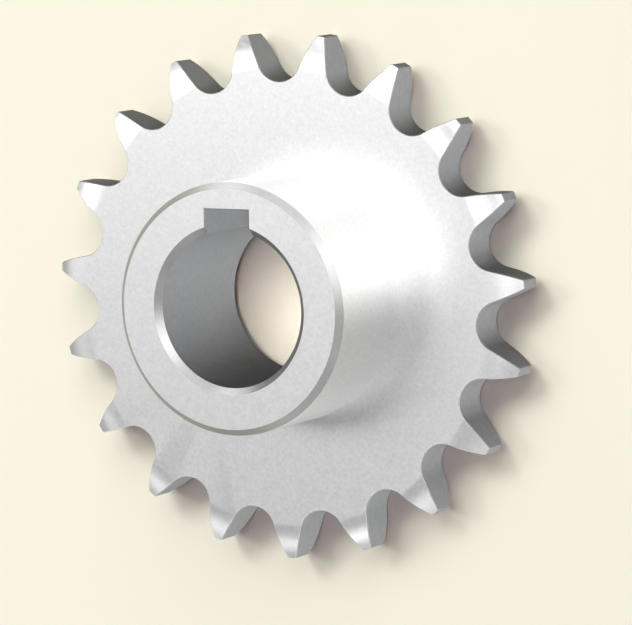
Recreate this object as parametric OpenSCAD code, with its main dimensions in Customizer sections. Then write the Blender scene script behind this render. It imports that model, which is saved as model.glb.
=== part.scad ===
// Roller chain sprocket, 19 teeth, with a boss on one side
// for a 12.7 mm pitch chain on a 25 mm keyed shaft.
// The axis is +Z, the flat back of the tooth disc lies at z = 0
// and the boss stands up towards +Z. The keyway is at +Y.

/* [Chain] */
// Number of teeth
teeth = 19; // [15:1:40]
// Chain pitch, from pin to pin
pitch = 12.7; // [12:0.1:13.5]
// Diameter of the chain's rollers
roller_d = 7.92; // [7.5:0.01:8.6]
// Width of the tooth disc, which runs between the chain's inner plates
disc_w = 7.3; // [6.5:0.1:8]

/* [Teeth] */
// Angle that the roller seat's arc covers
seat_angle = 133; // [116:1:135]
// Height of the tooth tips over the pitch circle
tip_height = 3.82; // [3.3:0.01:3.9]
// Depth that each side of a tooth is relieved at its tip
relief_depth = 1.45; // [1:0.05:2]
// Radius of the relief's arc, seen in section
relief_r = 12.7; // [11:0.1:16]
// Slope at which the relief leaves the side face, in degrees
relief_lead = 2; // [1:0.5:4]

/* [Boss] */
// Diameter of the boss
boss_d = 40; // [36:1:50]
// Length of the whole part along its axis
length = 25; // [18:1:40]
// Chamfer round the boss's outer edge
boss_chamfer = 1; // [0.5:0.1:2]

/* [Bore] */
// Diameter of the shaft bore
bore_d = 25; // [22:1:28]
// Chamfer at both ends of the bore
bore_chamfer = 1; // [0.5:0.1:1.5]
// Width of the keyway
key_w = 8; // [6:1:8]
// Depth of the keyway, from the top of the bore
key_depth = 3.3; // [2.8:0.1:3.5]

/* [Hidden] */
$fn = 180;

// How far a cutter runs past the metal
past = 5;

pitch_r = pitch / (2 * sin(180 / teeth));
tip_r = pitch_r + tip_height;
bore_r = bore_d / 2;
boss_r = boss_d / 2;

// The roller seat and the flanks follow the usual tooth form for roller chain
seat_r = 0.505 * roller_d;
flank_r = 0.008 * roller_d * (pow(teeth, 2) + 180);
// The flank's arc sinks this far into the seat's arc, so that the two cross
flank_bite = 0.005;
// Direction from the seat's centre to the end of its arc, for a gap that faces +X
seat_end = [-cos(seat_angle / 2), sin(seat_angle / 2)];
seat_centre = [pitch_r, 0];
seat_tip = seat_centre + seat_r * seat_end;
flank_centre = seat_centre + (seat_r + flank_r - flank_bite) * seat_end;
// The gap's cutter reaches just past the middle of the teeth beside it, so that
// a blank turned too large for its teeth still comes to clean points
cutter_angle = 1.05 * 180 / teeth;

// The relief's arc leaves the side face at the lead's slope, and its slope at the tip
// follows from the depth that it reaches there
relief_tip_angle = acos(cos(relief_lead) - relief_depth / relief_r);
relief_start_r = tip_r - relief_r * (sin(relief_tip_angle) - sin(relief_lead));
relief_centre_r = relief_start_r - relief_r * sin(relief_lead);
relief_centre_drop = relief_r * cos(relief_lead);

steel = [0.80, 0.81, 0.82];

function mirrored(point) = [point[0], -point[1]];
function polar(radius, angle) = radius * [cos(angle), sin(angle)];

// One tooth gap that faces +X: the seat's circle and the space between two flanks
module gap_outline() {
    translate(seat_centre) circle(r = seat_r);
    difference() {
        polygon([
            seat_tip,
            polar(pitch_r, cutter_angle),
            polar(tip_r + past, cutter_angle),
            polar(tip_r + past, -cutter_angle),
            polar(pitch_r, -cutter_angle),
            mirrored(seat_tip)
        ]);
        translate(flank_centre) circle(r = flank_r);
        translate(mirrored(flank_centre)) circle(r = flank_r);
    }
}

// What the relief takes off the disc's upper side, in section.
// The section's x is the distance from the axis.
module relief_section() {
    difference() {
        translate([relief_start_r, disc_w - relief_depth - 1])
            square([tip_r - relief_start_r + past, relief_depth + 1 + past]);
        translate([relief_centre_r, disc_w - relief_centre_drop])
            circle(r = relief_r, $fn = 360);
    }
}

// The boss in section, from the axis to its chamfered edge
module boss_section() {
    polygon([
        [0, 0],
        [boss_r, 0],
        [boss_r, length - boss_chamfer],
        [boss_r - boss_chamfer, length],
        [0, length]
    ]);
}

// The bore in section, flared by a chamfer at both ends
module bore_section() {
    flare_r = bore_r + bore_chamfer;
    polygon([
        [-1, -past],
        [flare_r, -past],
        [flare_r, 0],
        [bore_r, bore_chamfer],
        [bore_r, length - bore_chamfer],
        [flare_r, length],
        [flare_r, length + past],
        [-1, length + past]
    ]);
}

// The turned blank: disc, relief on both sides, boss and bore
module blank() {
    rotate_extrude()
        difference() {
            union() {
                square([tip_r, disc_w]);
                boss_section();
            }
            relief_section();
            translate([0, disc_w]) mirror([0, 1]) relief_section();
            bore_section();
        }
}

// The keyway, cut through the whole length at +Y
module keyway() {
    translate([-key_w / 2, 0, -past])
        cube([key_w, bore_r + key_depth, length + 2 * past]);
}

module sprocket() {
    color(steel)
        difference() {
            blank();
            keyway();
            // The first gap stands over the keyway
            for (i = [0 : teeth - 1])
                rotate([0, 0, 90 + i * 360 / teeth])
                    translate([0, 0, -past])
                        linear_extrude(disc_w + 2 * past) gap_outline();
        }
}

sprocket();
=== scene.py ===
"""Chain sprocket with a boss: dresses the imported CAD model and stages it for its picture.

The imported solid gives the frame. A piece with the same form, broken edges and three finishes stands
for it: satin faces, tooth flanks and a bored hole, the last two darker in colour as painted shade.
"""

import logging
import math
from dataclasses import dataclass, field
from enum import Enum
from typing import Any, Callable, Sequence

import bpy
from mathutils import Matrix, Vector


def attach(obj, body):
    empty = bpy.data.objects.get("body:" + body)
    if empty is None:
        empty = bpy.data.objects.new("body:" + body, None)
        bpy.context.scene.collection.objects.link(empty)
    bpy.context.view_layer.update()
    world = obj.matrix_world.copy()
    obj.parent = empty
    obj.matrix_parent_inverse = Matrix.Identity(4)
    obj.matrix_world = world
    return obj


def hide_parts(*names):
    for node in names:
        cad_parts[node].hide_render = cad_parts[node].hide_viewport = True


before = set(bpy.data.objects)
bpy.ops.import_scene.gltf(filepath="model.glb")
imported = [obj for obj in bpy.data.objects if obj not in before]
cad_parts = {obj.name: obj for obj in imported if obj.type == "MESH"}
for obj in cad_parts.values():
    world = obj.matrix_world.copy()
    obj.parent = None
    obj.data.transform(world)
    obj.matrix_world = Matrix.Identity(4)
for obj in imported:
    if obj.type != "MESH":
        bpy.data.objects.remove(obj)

LOG = logging.getLogger("sprocket")
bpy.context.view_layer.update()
MM = 0.001


def linear_colour(code: str) -> tuple[float, float, float, float]:
    """Turns an sRGB hex colour into Blender's linear one.

    Args:
        code: Six hex digits after a hash sign.

    Returns:
        Red, green, blue and an alpha of 1.
    """
    shares = [int(code[i : i + 2], 16) / 255 for i in (1, 3, 5)]
    red, green, blue = (s / 12.92 if s <= 0.04045 else ((s + 0.055) / 1.055) ** 2.4 for s in shares)
    return red, green, blue, 1.0


def add_node(
    tree: bpy.types.NodeTree,
    kind: str,
    inputs: dict[str | int, Any] | None = None,
    **settings: Any,
) -> bpy.types.Node:
    """Adds a node with its settings, values and links.

    Args:
        tree: Node tree that gets the node.
        kind: Blender's name for the kind of node.
        inputs: Each input's value, or the output socket that feeds it.
        settings: The node's own properties.

    Returns:
        The new node.
    """
    node = tree.nodes.new(kind)
    for name, value in settings.items():
        setattr(node, name, value)
    for key, value in (inputs or {}).items():
        if isinstance(value, bpy.types.NodeSocket):
            tree.links.new(value, node.inputs[key])
        else:
            node.inputs[key].default_value = value
    return node


def polar(radius: float, angle: float) -> Vector:
    """Gives the point at a radius in mm and an angle in radians round the axis."""
    return Vector((radius * math.cos(angle), radius * math.sin(angle), 0.0))


def select_nothing() -> None:
    """Leaves edit mode and deselects every object."""
    if bpy.context.mode != "OBJECT":
        bpy.ops.object.mode_set(mode="OBJECT")
    bpy.ops.object.select_all(action="DESELECT")


def select_only(*pieces: bpy.types.Object) -> None:
    """Selects the pieces and makes the last of them active."""
    select_nothing()
    for piece in pieces:
        piece.select_set(True)
    bpy.context.view_layer.objects.active = pieces[-1]


def trace(name: str, points: Sequence[Vector]) -> bpy.types.Object:
    """Draws a closed line through the points, one extruded vertex after the other.

    Args:
        name: Name of the new object.
        points: Corners of the line in mm, each named once.

    Returns:
        The line's object, selected all over and in edit mode.
    """
    select_nothing()
    start = points[0] * MM
    bpy.ops.mesh.primitive_plane_add(size=MM, location=start)
    line = bpy.context.object
    line.name = name
    bpy.ops.object.transform_apply(location=True, rotation=True, scale=True)
    bpy.ops.object.mode_set(mode="EDIT")
    bpy.ops.mesh.select_all(action="SELECT")
    bpy.ops.mesh.merge(type="CENTER")
    for here, there in zip(points, [*points[1:], points[0]]):
        bpy.ops.mesh.extrude_vertices_move(TRANSFORM_OT_translate={"value": (there - here) * MM})
    bpy.ops.mesh.select_all(action="SELECT")
    bpy.ops.mesh.remove_doubles(threshold=0.001 * MM)
    return line


def pick_faces(piece: bpy.types.Object, wanted: Callable[[Vector, Vector], bool]) -> int:
    """Selects the faces of a piece by their place and normal, and enters edit mode.

    Args:
        piece: Object whose faces are looked at.
        wanted: Says of a face's centre in mm and its normal whether it is selected.

    Returns:
        How many faces are selected.
    """
    select_only(piece)
    bpy.ops.object.mode_set(mode="EDIT")
    bpy.ops.mesh.select_mode(type="FACE")
    bpy.ops.mesh.select_all(action="DESELECT")
    bpy.ops.object.mode_set(mode="OBJECT")
    count = 0
    for face in piece.data.polygons:
        face.select = wanted(face.center / MM, face.normal)
        count += face.select
    bpy.ops.object.mode_set(mode="EDIT")
    return count


def pick_sharp_edges(piece: bpy.types.Object, least: float) -> int:
    """Selects the edges that stick out and turn sharply, and enters edit mode.

    Args:
        piece: Object whose edges are looked at.
        least: Smallest turn in radians between the two faces of an edge.

    Returns:
        How many edges are selected.
    """
    select_only(piece)
    bpy.ops.object.mode_set(mode="EDIT")
    bpy.ops.mesh.select_mode(type="EDGE")
    bpy.ops.mesh.select_all(action="DESELECT")
    bpy.ops.object.mode_set(mode="OBJECT")
    mesh = piece.data
    sides: dict[tuple[int, int], list[bpy.types.MeshPolygon]] = {}
    for face in mesh.polygons:
        for key in face.edge_keys:
            sides.setdefault(key, []).append(face)
    count = 0
    for edge in mesh.edges:
        small, large = sorted(sides[edge.key], key=lambda face: face.area)
        outward = (small.center - large.center).dot(large.normal) < 0
        edge.select = outward and small.normal.angle(large.normal) > least
        count += edge.select
    bpy.ops.object.mode_set(mode="EDIT")
    return count


class Surface(Enum):
    """The finishes that the sprocket's surfaces take, in the order of its material slots."""

    FACES = 0
    FLANKS = 1
    BORE = 2
    CHAMFER = 3


class Reach(Enum):
    """What a lamp is set to light."""

    MIRRORED = "shows in polished and satin metal"
    TABLE = "lights the table top"
    WALLS = "lights the dull walls of the sprocket"


@dataclass(frozen=True)
class SatinSteel:
    """Plain carbon steel, turned and then bead blasted to a fine satin.

    The blasting leaves shallow pits that blur what the metal mirrors and show as a
    soft mottle in the light.
    """

    name: str = "satin_steel"
    colour: str = "#F6F6F6"
    dull_colour: str = "#DADADA"
    roughness: float = 0.33
    roughness_spread: float = 0.05
    # The real pits are about 0.1 mm; half a millimetre is the finest that shows
    mottle_mm: float = 0.55
    pit_mm: float = 0.35
    pit_depth_mm: float = 0.004

    def material(self) -> bpy.types.Material:
        """Makes the material."""
        material = bpy.data.materials.new(self.name)
        material.use_nodes = True
        tree = material.node_tree
        shader = tree.nodes["Principled BSDF"]
        place = add_node(tree, "ShaderNodeTexCoord").outputs["Object"]
        mottle = add_node(
            tree,
            "ShaderNodeTexNoise",
            {"Vector": place, "Scale": 1 / (self.mottle_mm * MM), "Detail": 3.0, "Roughness": 0.6},
        )
        colour = add_node(
            tree,
            "ShaderNodeMix",
            {
                "Factor": mottle.outputs["Fac"],
                6: linear_colour(self.dull_colour),
                7: linear_colour(self.colour),
            },
            data_type="RGBA",
        )
        rough = add_node(
            tree,
            "ShaderNodeMapRange",
            {
                "Value": mottle.outputs["Fac"],
                "From Min": 0.3,
                "From Max": 0.7,
                "To Min": self.roughness - self.roughness_spread / 2,
                "To Max": self.roughness + self.roughness_spread / 2,
            },
        )
        pits = add_node(
            tree,
            "ShaderNodeTexNoise",
            {"Vector": place, "Scale": 1 / (self.pit_mm * MM), "Detail": 1.0},
        )
        bump = add_node(
            tree,
            "ShaderNodeBump",
            {"Height": pits.outputs["Fac"], "Strength": 1.0, "Distance": self.pit_depth_mm * MM},
        )
        tree.links.new(colour.outputs[2], shader.inputs["Base Color"])
        tree.links.new(rough.outputs["Result"], shader.inputs["Roughness"])
        tree.links.new(bump.outputs["Normal"], shader.inputs["Normal"])
        shader.inputs["Metallic"].default_value = 1.0
        return material


@dataclass(frozen=True)
class DullSteel:
    """Steel in a dull colour, darker than the satin faces: painted shade, standing in for the shade on
    the tooth walls, the hole and the chamfers. It scatters light more than it mirrors, so the walls of
    the teeth and of the hole shade softly as they turn.
    """

    name: str
    colour: str
    stain_colour: str
    metallic: float
    roughness: float
    # Most of the gloss is taken away
    gloss: float = 0.1
    stain_mm: float = 0.9

    def material(self) -> bpy.types.Material:
        """Makes the material."""
        material = bpy.data.materials.new(self.name)
        material.use_nodes = True
        tree = material.node_tree
        shader = tree.nodes["Principled BSDF"]
        place = add_node(tree, "ShaderNodeTexCoord").outputs["Object"]
        stain = add_node(
            tree,
            "ShaderNodeTexNoise",
            {"Vector": place, "Scale": 1 / (self.stain_mm * MM), "Detail": 4.0, "Roughness": 0.6},
        )
        colour = add_node(
            tree,
            "ShaderNodeMix",
            {
                "Factor": stain.outputs["Fac"],
                6: linear_colour(self.stain_colour),
                7: linear_colour(self.colour),
            },
            data_type="RGBA",
        )
        tree.links.new(colour.outputs[2], shader.inputs["Base Color"])
        shader.inputs["Metallic"].default_value = self.metallic
        shader.inputs["Roughness"].default_value = self.roughness
        shader.inputs["Specular IOR Level"].default_value = self.gloss
        return material


@dataclass
class ToothedWheel:
    """The sprocket: a toothed disc with relieved sides, a boss and a keyed bore.

    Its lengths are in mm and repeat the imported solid's.
    """

    teeth: int = 19
    pitch: float = 12.7
    roller_d: float = 7.92
    disc_w: float = 7.3
    seat_angle: float = 133.0
    tip_height: float = 3.82
    relief_depth: float = 1.45
    relief_r: float = 12.7
    relief_lead: float = 2.0
    boss_r: float = 20.0
    length: float = 25.0
    boss_chamfer: float = 1.0
    bore_r: float = 12.5
    bore_chamfer: float = 1.0
    key_w: float = 8.0
    key_depth: float = 3.3
    edge_break: float = 0.1
    past: float = 5.0
    steps_per_tooth: int = 11
    relief_steps: int = 6
    seat_steps: int = 18
    finishes: dict[Surface, SatinSteel | DullSteel] = field(
        default_factory=lambda: {
            Surface.FACES: SatinSteel(),
            # The tooth flanks and the bore wall are darker in colour than the faces: painted shade
            Surface.FLANKS: DullSteel("flank_painted_shade", "#707172", "#5D5E5F", 0.0, 0.6),
            Surface.BORE: DullSteel("bore_painted_shade", "#6E6F70", "#5E5F60", 0.0, 0.6),
            # The chamfers are darker in colour than the satin faces: painted shade
            Surface.CHAMFER: DullSteel("chamfer_painted_shade", "#A8A8A8", "#9B9B9B", 1.0, 0.42),
        }
    )

    @property
    def pitch_r(self) -> float:
        """Radius of the pitch circle."""
        return self.pitch / (2 * math.sin(math.pi / self.teeth))

    @property
    def tip_r(self) -> float:
        """Radius of the circle that the tooth tips lie on."""
        return self.pitch_r + self.tip_height

    @property
    def root_r(self) -> float:
        """Radius of the bottoms of the tooth gaps."""
        return self.pitch_r - 0.505 * self.roller_d

    def relief_curve(self) -> list[tuple[float, float]]:
        """Gives the relief's arc in section.

        Returns:
            Radius and drop below the side face of each point, from the face outwards.
        """
        lead = math.radians(self.relief_lead)
        end = math.acos(math.cos(lead) - self.relief_depth / self.relief_r)
        centre_r = self.tip_r - self.relief_r * math.sin(end)
        slopes = [lead + (end - lead) * i / self.relief_steps for i in range(self.relief_steps + 1)]
        return [
            (centre_r + self.relief_r * math.sin(s), self.relief_r * (math.cos(lead) - math.cos(s)))
            for s in slopes
        ]

    def gap_half_outline(self) -> list[Vector]:
        """Gives half of a tooth gap that faces +X, from its bottom to past the tip circle."""
        seat_r = 0.505 * self.roller_d
        flank_r = 0.008 * self.roller_d * (self.teeth**2 + 180)
        half = math.radians(self.seat_angle / 2)
        seat_centre = Vector((self.pitch_r, 0.0, 0.0))
        seat_end = Vector((-math.cos(half), math.sin(half), 0.0))
        flank_centre = seat_centre + (seat_r + flank_r) * seat_end
        points = [
            seat_centre + polar(seat_r, math.pi - half * i / (self.seat_steps // 2))
            for i in range(self.seat_steps // 2 + 1)
        ]
        reach = [r for r, _ in self.relief_curve() if r > points[-1].length + 0.15]
        far, turn = flank_centre.length, math.atan2(flank_centre.y, flank_centre.x)
        for radius in [*reach, self.tip_r + 0.7]:
            share = (radius**2 - far**2 - flank_r**2) / (2 * far * flank_r)
            points.append(flank_centre + polar(flank_r, turn - math.acos(share)))
        return points

    def turn_blank(self) -> bpy.types.Object:
        """Turns the blank as on a lathe: its section is drawn and spun round the axis."""
        relief = self.relief_curve()
        upper = [(r, self.disc_w - drop) for r, drop in relief]
        lower = [(r, drop) for r, drop in reversed(relief)]
        flare = self.bore_r + self.bore_chamfer
        section = [
            (flare, 0.0),
            (self.bore_r, self.bore_chamfer),
            (self.bore_r, self.length - self.bore_chamfer),
            (flare, self.length),
            (self.boss_r - self.boss_chamfer, self.length),
            (self.boss_r, self.length - self.boss_chamfer),
            (self.boss_r, self.disc_w),
            *upper,
            *lower,
        ]
        steps = self.teeth * self.steps_per_tooth
        # Half a step off +Y, so that no seam of the spin runs close beside a keyway wall
        start = math.pi / 2 + math.pi / steps
        blank = trace("sprocket_steel", [polar(r, start) + Vector((0, 0, z)) for r, z in section])
        bpy.ops.mesh.spin(
            steps=steps,
            angle=2 * math.pi,
            center=(0, 0, 0),
            axis=(0, 0, 1),
        )
        bpy.ops.mesh.select_all(action="SELECT")
        bpy.ops.mesh.remove_doubles(threshold=0.001 * MM)
        bpy.ops.mesh.normals_make_consistent(inside=False)
        bpy.ops.object.mode_set(mode="OBJECT")
        return blank

    def gap_cutters(self) -> bpy.types.Object:
        """Makes the cutter of one tooth gap and copies it round the disc.

        Returns:
            One object that holds the cutters of all gaps. The first stands at +Y.
        """
        half = self.gap_half_outline()
        outline = [*half, Vector((self.tip_r + 2, 0, 0)), *[Vector((p.x, -p.y, 0)) for p in half[:0:-1]]]
        facing_y = Matrix.Rotation(math.pi / 2, 3, "Z")
        low = Vector((0, 0, -self.past))
        first = trace("gap_cutter", [facing_y @ p + low for p in outline])
        bpy.ops.mesh.edge_face_add()
        height = self.disc_w + 2 * self.past
        bpy.ops.mesh.extrude_region_move(TRANSFORM_OT_translate={"value": (0, 0, height * MM)})
        bpy.ops.mesh.select_all(action="SELECT")
        bpy.ops.mesh.normals_make_consistent(inside=False)
        cutters = [first]
        for i in range(1, self.teeth):
            select_only(first)
            bpy.ops.object.duplicate()
            bpy.ops.transform.rotate(
                value=2 * math.pi * i / self.teeth, orient_axis="Z", center_override=(0, 0, 0)
            )
            bpy.ops.object.transform_apply(location=True, rotation=True, scale=True)
            cutters.append(bpy.context.object)
        select_only(*cutters)
        bpy.ops.object.join()
        return bpy.context.object

    def key_cutter(self) -> bpy.types.Object:
        """Makes the broach that cuts the keyway at +Y, from the bore's middle outwards."""
        reach = self.bore_r + self.key_depth
        select_nothing()
        bpy.ops.mesh.primitive_cube_add(
            size=MM,
            location=(0, reach / 2 * MM, self.length / 2 * MM),
            scale=(self.key_w, reach, self.length + 2 * self.past),
        )
        bpy.ops.object.transform_apply(location=True, rotation=True, scale=True)
        return bpy.context.object

    def cut(self, blank: bpy.types.Object, cutter: bpy.types.Object) -> None:
        """Takes the cutter's space out of the blank and removes the cutter."""
        select_only(blank)
        bpy.ops.object.modifier_add(type="BOOLEAN")
        modifier = blank.modifiers[-1]
        modifier.operation = "DIFFERENCE"
        modifier.solver = "EXACT"
        modifier.object = cutter
        bpy.ops.object.modifier_apply(modifier=modifier.name)
        select_only(cutter)
        bpy.ops.object.delete()

    def tidy_flats(self, piece: bpy.types.Object) -> None:
        """Joins the pieces of each flat face, so that the edges left are real ones."""
        select_only(piece)
        bpy.ops.object.mode_set(mode="EDIT")
        bpy.ops.mesh.select_all(action="SELECT")
        bpy.ops.mesh.remove_doubles(threshold=0.02 * MM)
        bpy.ops.mesh.dissolve_limited(angle_limit=math.radians(0.3))
        bpy.ops.object.mode_set(mode="OBJECT")

    def break_edges(self, piece: bpy.types.Object) -> None:
        """Takes the sharpness off every outer edge, as a deburring wheel does."""
        count = pick_sharp_edges(piece, math.radians(50))
        LOG.info("edges to break: %d", count)
        bpy.ops.mesh.bevel(offset=self.edge_break * MM, segments=1, affect="EDGES", clamp_overlap=True)
        bpy.ops.object.mode_set(mode="OBJECT")
        bpy.ops.object.shade_smooth_by_angle(angle=math.radians(15))

    def surface_of(self, centre: Vector, normal: Vector) -> Surface:
        """Says which finish a face takes.

        Args:
            centre: Middle of the face, in mm.
            normal: Its outward normal.
        """
        radius = centre.xy.length
        # The gaps' broken edges take the flanks' darker colour too, painted shade in place of their
        # bright edges
        if abs(normal.z) < 0.8 and radius > self.root_r - 0.3:
            return Surface.FLANKS
        if abs(normal.z) < 0.3 and radius < self.bore_r + self.key_depth + 0.3:
            return Surface.BORE
        at_end = centre.z > self.length - 1.1 * self.boss_chamfer or centre.z < 1.1 * self.bore_chamfer
        if at_end and 0.5 < abs(normal.z) < 0.9 and radius < self.boss_r + 0.1:
            return Surface.CHAMFER
        return Surface.FACES

    def dress(self, piece: bpy.types.Object) -> None:
        """Gives each surface its finish."""
        piece.data.materials.clear()
        for surface in Surface:
            piece.data.materials.append(self.finishes[surface].material())
        for surface in (Surface.FLANKS, Surface.BORE, Surface.CHAMFER):
            count = pick_faces(piece, lambda centre, normal: self.surface_of(centre, normal) is surface)
            piece.active_material_index = surface.value
            bpy.ops.object.material_slot_assign()
            LOG.info("%s: %d faces", surface.name.lower(), count)
        bpy.ops.object.mode_set(mode="OBJECT")

    def build(self) -> bpy.types.Object:
        """Makes the sprocket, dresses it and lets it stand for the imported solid."""
        wheel = self.turn_blank()
        self.cut(wheel, self.key_cutter())
        self.cut(wheel, self.gap_cutters())
        self.tidy_flats(wheel)
        self.break_edges(wheel)
        self.dress(wheel)
        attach(wheel, "root")
        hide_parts("sprocket")
        return wheel


@dataclass(frozen=True)
class Softbox:
    """A round studio softbox that looks at the object from far off.

    Angles are in degrees, and strength is the light that a white board facing it
    would send back, where 1 is white. The spread is how wide the softbox looks from the
    object, and the grid is how wide a honeycomb before it lets its light go. It looks
    at the aimed point of the table, in mm.
    """

    name: str
    reach: Reach
    azimuth: float
    elevation: float
    strength: float
    spread: float
    distance_mm: float = 3000.0
    grid: float = 180.0
    aim: tuple[float, float] = (0.0, 0.0)
    colour: str = "#FFFFFF"

    def build(self, lit: bpy.types.Collection | None = None) -> bpy.types.Object:
        """Makes the lamp.

        Args:
            lit: The only objects that the lamp lights, or None for all of them.

        Returns:
            The lamp's object.
        """
        around, up = math.radians(self.azimuth), math.radians(self.elevation)
        away = Vector(
            (math.cos(up) * math.cos(around), math.cos(up) * math.sin(around), math.sin(up))
        )
        distance = self.distance_mm * MM
        place = Vector((*self.aim, 0.0)) * MM + away * distance
        select_nothing()
        bpy.ops.object.light_add(
            type="AREA", location=place, rotation=away.to_track_quat("Z", "Y").to_euler()
        )
        lamp = bpy.context.object
        lamp.name = self.name
        lamp.data.shape = "DISK"
        lamp.data.size = 2 * distance * math.tan(math.radians(self.spread / 2))
        # A board at this distance gets energy / (pi * distance squared), and pi is white
        lamp.data.energy = self.strength * math.pi * math.pi * distance**2
        if self.grid < 180:
            # A honeycomb gathers the light in its cone, so less gives the same at the middle
            half = math.radians(self.grid / 2)
            lamp.data.energy *= 1 - half / math.tan(half)
        lamp.data.color = linear_colour(self.colour)[:3]
        lamp.data.spread = math.radians(self.grid)
        lamp.visible_camera = False
        lamp.visible_diffuse = self.reach is not Reach.MIRRORED
        lamp.visible_glossy = self.reach is Reach.MIRRORED
        if lit is not None:
            lamp.light_linking.receiver_collection = lit
        return lamp


@dataclass(frozen=True)
class SoftboxRing:
    """Softboxes at one height round the object, which its bare metal mirrors."""

    elevation: float
    spread: float
    # Strength of the softbox at each azimuth
    strengths: dict[int, float]

    def softboxes(self) -> list[Softbox]:
        """Gives the ring's softboxes."""
        return [
            Softbox(f"box_{self.elevation:.0f}_{azimuth}", Reach.MIRRORED, azimuth, self.elevation, strength, self.spread)
            for azimuth, strength in self.strengths.items()
        ]


@dataclass
class Studio:
    """Pale table, softboxes and the room's even light."""

    floor_colour: str = "#FCECE9"
    floor_size_mm: float = 6000.0
    # The table's top lies this far under the disc's back, so that the two don't share a plane
    floor_gap_mm: float = 0.03
    room_colour: str = "#FFFFFF"
    room_strength: float = 0.22
    rings: tuple[SoftboxRing, ...] = (
        SoftboxRing(5, 24, {85: 0.236}),
        SoftboxRing(12, 30, {-90: 0.094, -60: 0.064, -30: 0.14, 120: 0.28}),
        SoftboxRing(30, 26, {-165: 0.027, -140: 0.058, 16: 0.167, 40: 0.266, 65: 0.103, 165: 0.1}),
        SoftboxRing(46, 12, {-120: 0.031}),
        SoftboxRing(50, 26, {-100: 0.047, -60: 0.032, 20: 0.159, 60: 0.082, 100: 0.152, 165: 0.093}),
        SoftboxRing(68, 24, {150: 0.06}),
        SoftboxRing(68.5, 12, {170: 0.028}),
        SoftboxRing(72, 12, {-10: 0.02}),
        SoftboxRing(88, 24, {0: 0.065}),
    )
    table_lamps: tuple[Softbox, ...] = (
        Softbox("key", Reach.TABLE, 120, 50, 0.448, 24, colour="#F1FFEA"),
        Softbox("right_key", Reach.TABLE, 75, 40, 0.394, 40, colour="#F1FFEA"),
        Softbox("left_key", Reach.TABLE, 160, 46, 0.204, 16, colour="#F1FFEA"),
        Softbox("low_key", Reach.TABLE, 135, 32, 0.132, 40, colour="#F1FFEA"),
        Softbox("top_key", Reach.TABLE, 180, 65, 0.127, 30, colour="#F1FFEA"),
        # A small one hangs over the bore and fades out before it reaches the disc's rim
        Softbox("bore_light", Reach.TABLE, 0, 90, 1.15, 4, 100, grid=17, aim=(0, -4), colour="#F8FFEC"),
    )
    wall_lamps: tuple[Softbox, ...] = (
        Softbox("high_fill", Reach.WALLS, -35, 60, 2.2, 20),
        Softbox("side_fill", Reach.WALLS, -12, 62, 2.1, 20),
        # Keeps the walls that the picture doesn't show from going black
        Softbox("back_fill", Reach.WALLS, 200, 45, 1.8, 50),
    )

    def table(self) -> bpy.types.Object:
        """Makes the table top of smooth matt board."""
        select_nothing()
        bpy.ops.mesh.primitive_plane_add(
            size=self.floor_size_mm * MM, location=(0, 0, -self.floor_gap_mm * MM)
        )
        table = bpy.context.object
        table.name = "table_top"
        bpy.ops.object.transform_apply(location=True, rotation=True, scale=True)
        material = bpy.data.materials.new("matt_board")
        material.use_nodes = True
        shader = material.node_tree.nodes["Principled BSDF"]
        shader.inputs["Base Color"].default_value = linear_colour(self.floor_colour)
        shader.inputs["Roughness"].default_value = 1.0
        shader.inputs["Specular IOR Level"].default_value = 0.0
        table.data.materials.append(material)
        return table

    def room(self) -> None:
        """Lights the world evenly."""
        world = bpy.data.worlds.new("studio_room")
        world.use_nodes = True
        background = world.node_tree.nodes["Background"]
        background.inputs["Color"].default_value = linear_colour(self.room_colour)
        background.inputs["Strength"].default_value = self.room_strength
        bpy.context.scene.world = world

    def build(self, wheel: bpy.types.Object) -> None:
        """Sets up the studio round the wheel."""
        lit = {}
        for reach, subject in ((Reach.TABLE, self.table()), (Reach.WALLS, wheel)):
            lit[reach] = bpy.data.collections.new(f"lit_{reach.name.lower()}")
            lit[reach].objects.link(subject)
        self.room()
        mirrored = [softbox for ring in self.rings for softbox in ring.softboxes()]
        for softbox in [*mirrored, *self.table_lamps, *self.wall_lamps]:
            softbox.build(lit.get(softbox.reach))
        LOG.info("lamps: %d", len(mirrored) + len(self.table_lamps) + len(self.wall_lamps))
        bpy.context.scene.view_settings.view_transform = "Standard"


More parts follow.
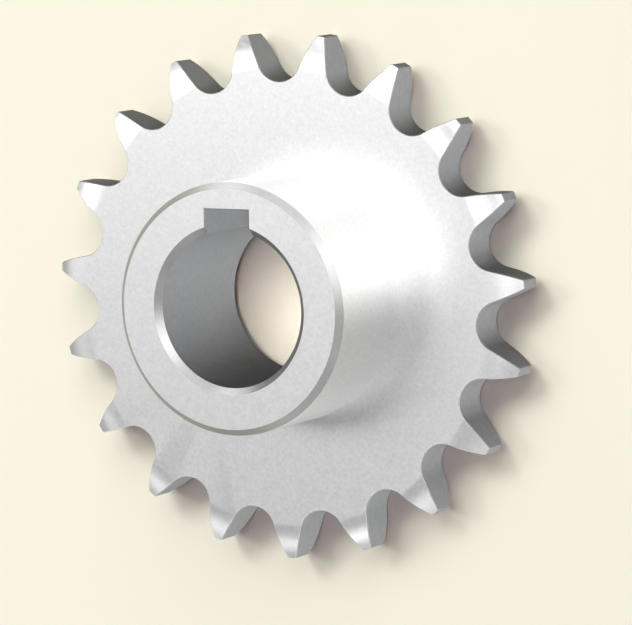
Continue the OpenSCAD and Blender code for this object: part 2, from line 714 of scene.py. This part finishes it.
@dataclass
class PictureCamera:
    """The camera, where it was found to stand by fitting the sprocket's edges.

    Angles are in degrees, lengths in mm. The aimed point stands at a named pixel of the
    picture, which is 632 pixels wide and 625 high.
    """

    azimuth: float = 13.0
    off_axis: float = 29.716
    roll: float = -1.094
    distance: float = 746.0
    aim_height: float = 7.0
    aim_pixel: tuple[float, float] = (283.8, 297.6)
    picture: tuple[int, int] = (632, 625)
    pixels_per_mm: float = 6.2495
    sensor: float = 36.0

    def build(self) -> bpy.types.Object:
        """Makes the camera and gives the scene to it."""
        around, tilt, roll = (math.radians(a) for a in (self.azimuth, self.off_axis, self.roll))
        aim = Vector((0, 0, self.aim_height))
        back = Vector(
            (math.sin(tilt) * math.cos(around), math.sin(tilt) * math.sin(around), math.cos(tilt))
        )
        place = aim + back * self.distance
        level_right = (-back).cross(Vector((0, 1, 0))).normalized()
        level_up = level_right.cross(-back)
        right = math.cos(roll) * level_right + math.sin(roll) * level_up
        up = math.cos(roll) * level_up - math.sin(roll) * level_right
        middle = (
            aim
            + right * (self.picture[0] / 2 - self.aim_pixel[0]) / self.pixels_per_mm
            - up * (self.picture[1] / 2 - self.aim_pixel[1]) / self.pixels_per_mm
        )
        z_axis = (place - middle).normalized()
        x_axis = up.cross(z_axis).normalized()
        y_axis = z_axis.cross(x_axis)
        turn = Matrix((x_axis, y_axis, z_axis)).transposed()
        select_nothing()
        bpy.ops.object.camera_add(location=place * MM, rotation=turn.to_euler())
        camera = bpy.context.object
        camera.name = "picture_camera"
        camera.data.sensor_fit = "HORIZONTAL"
        camera.data.sensor_width = self.sensor
        camera.data.lens = self.pixels_per_mm * self.distance * self.sensor / self.picture[0]
        camera.data.clip_start = 0.01
        bpy.context.scene.camera = camera
        return camera


def main() -> None:
    """Builds the camera, the sprocket and the studio in turn."""
    logging.basicConfig(level=logging.INFO, format="%(message)s")
    PictureCamera().build()
    wheel = ToothedWheel().build()
    LOG.info("%s: %d faces", wheel.name, len(wheel.data.polygons))
    Studio().build(wheel)


if __name__ == "__main__":
    main()
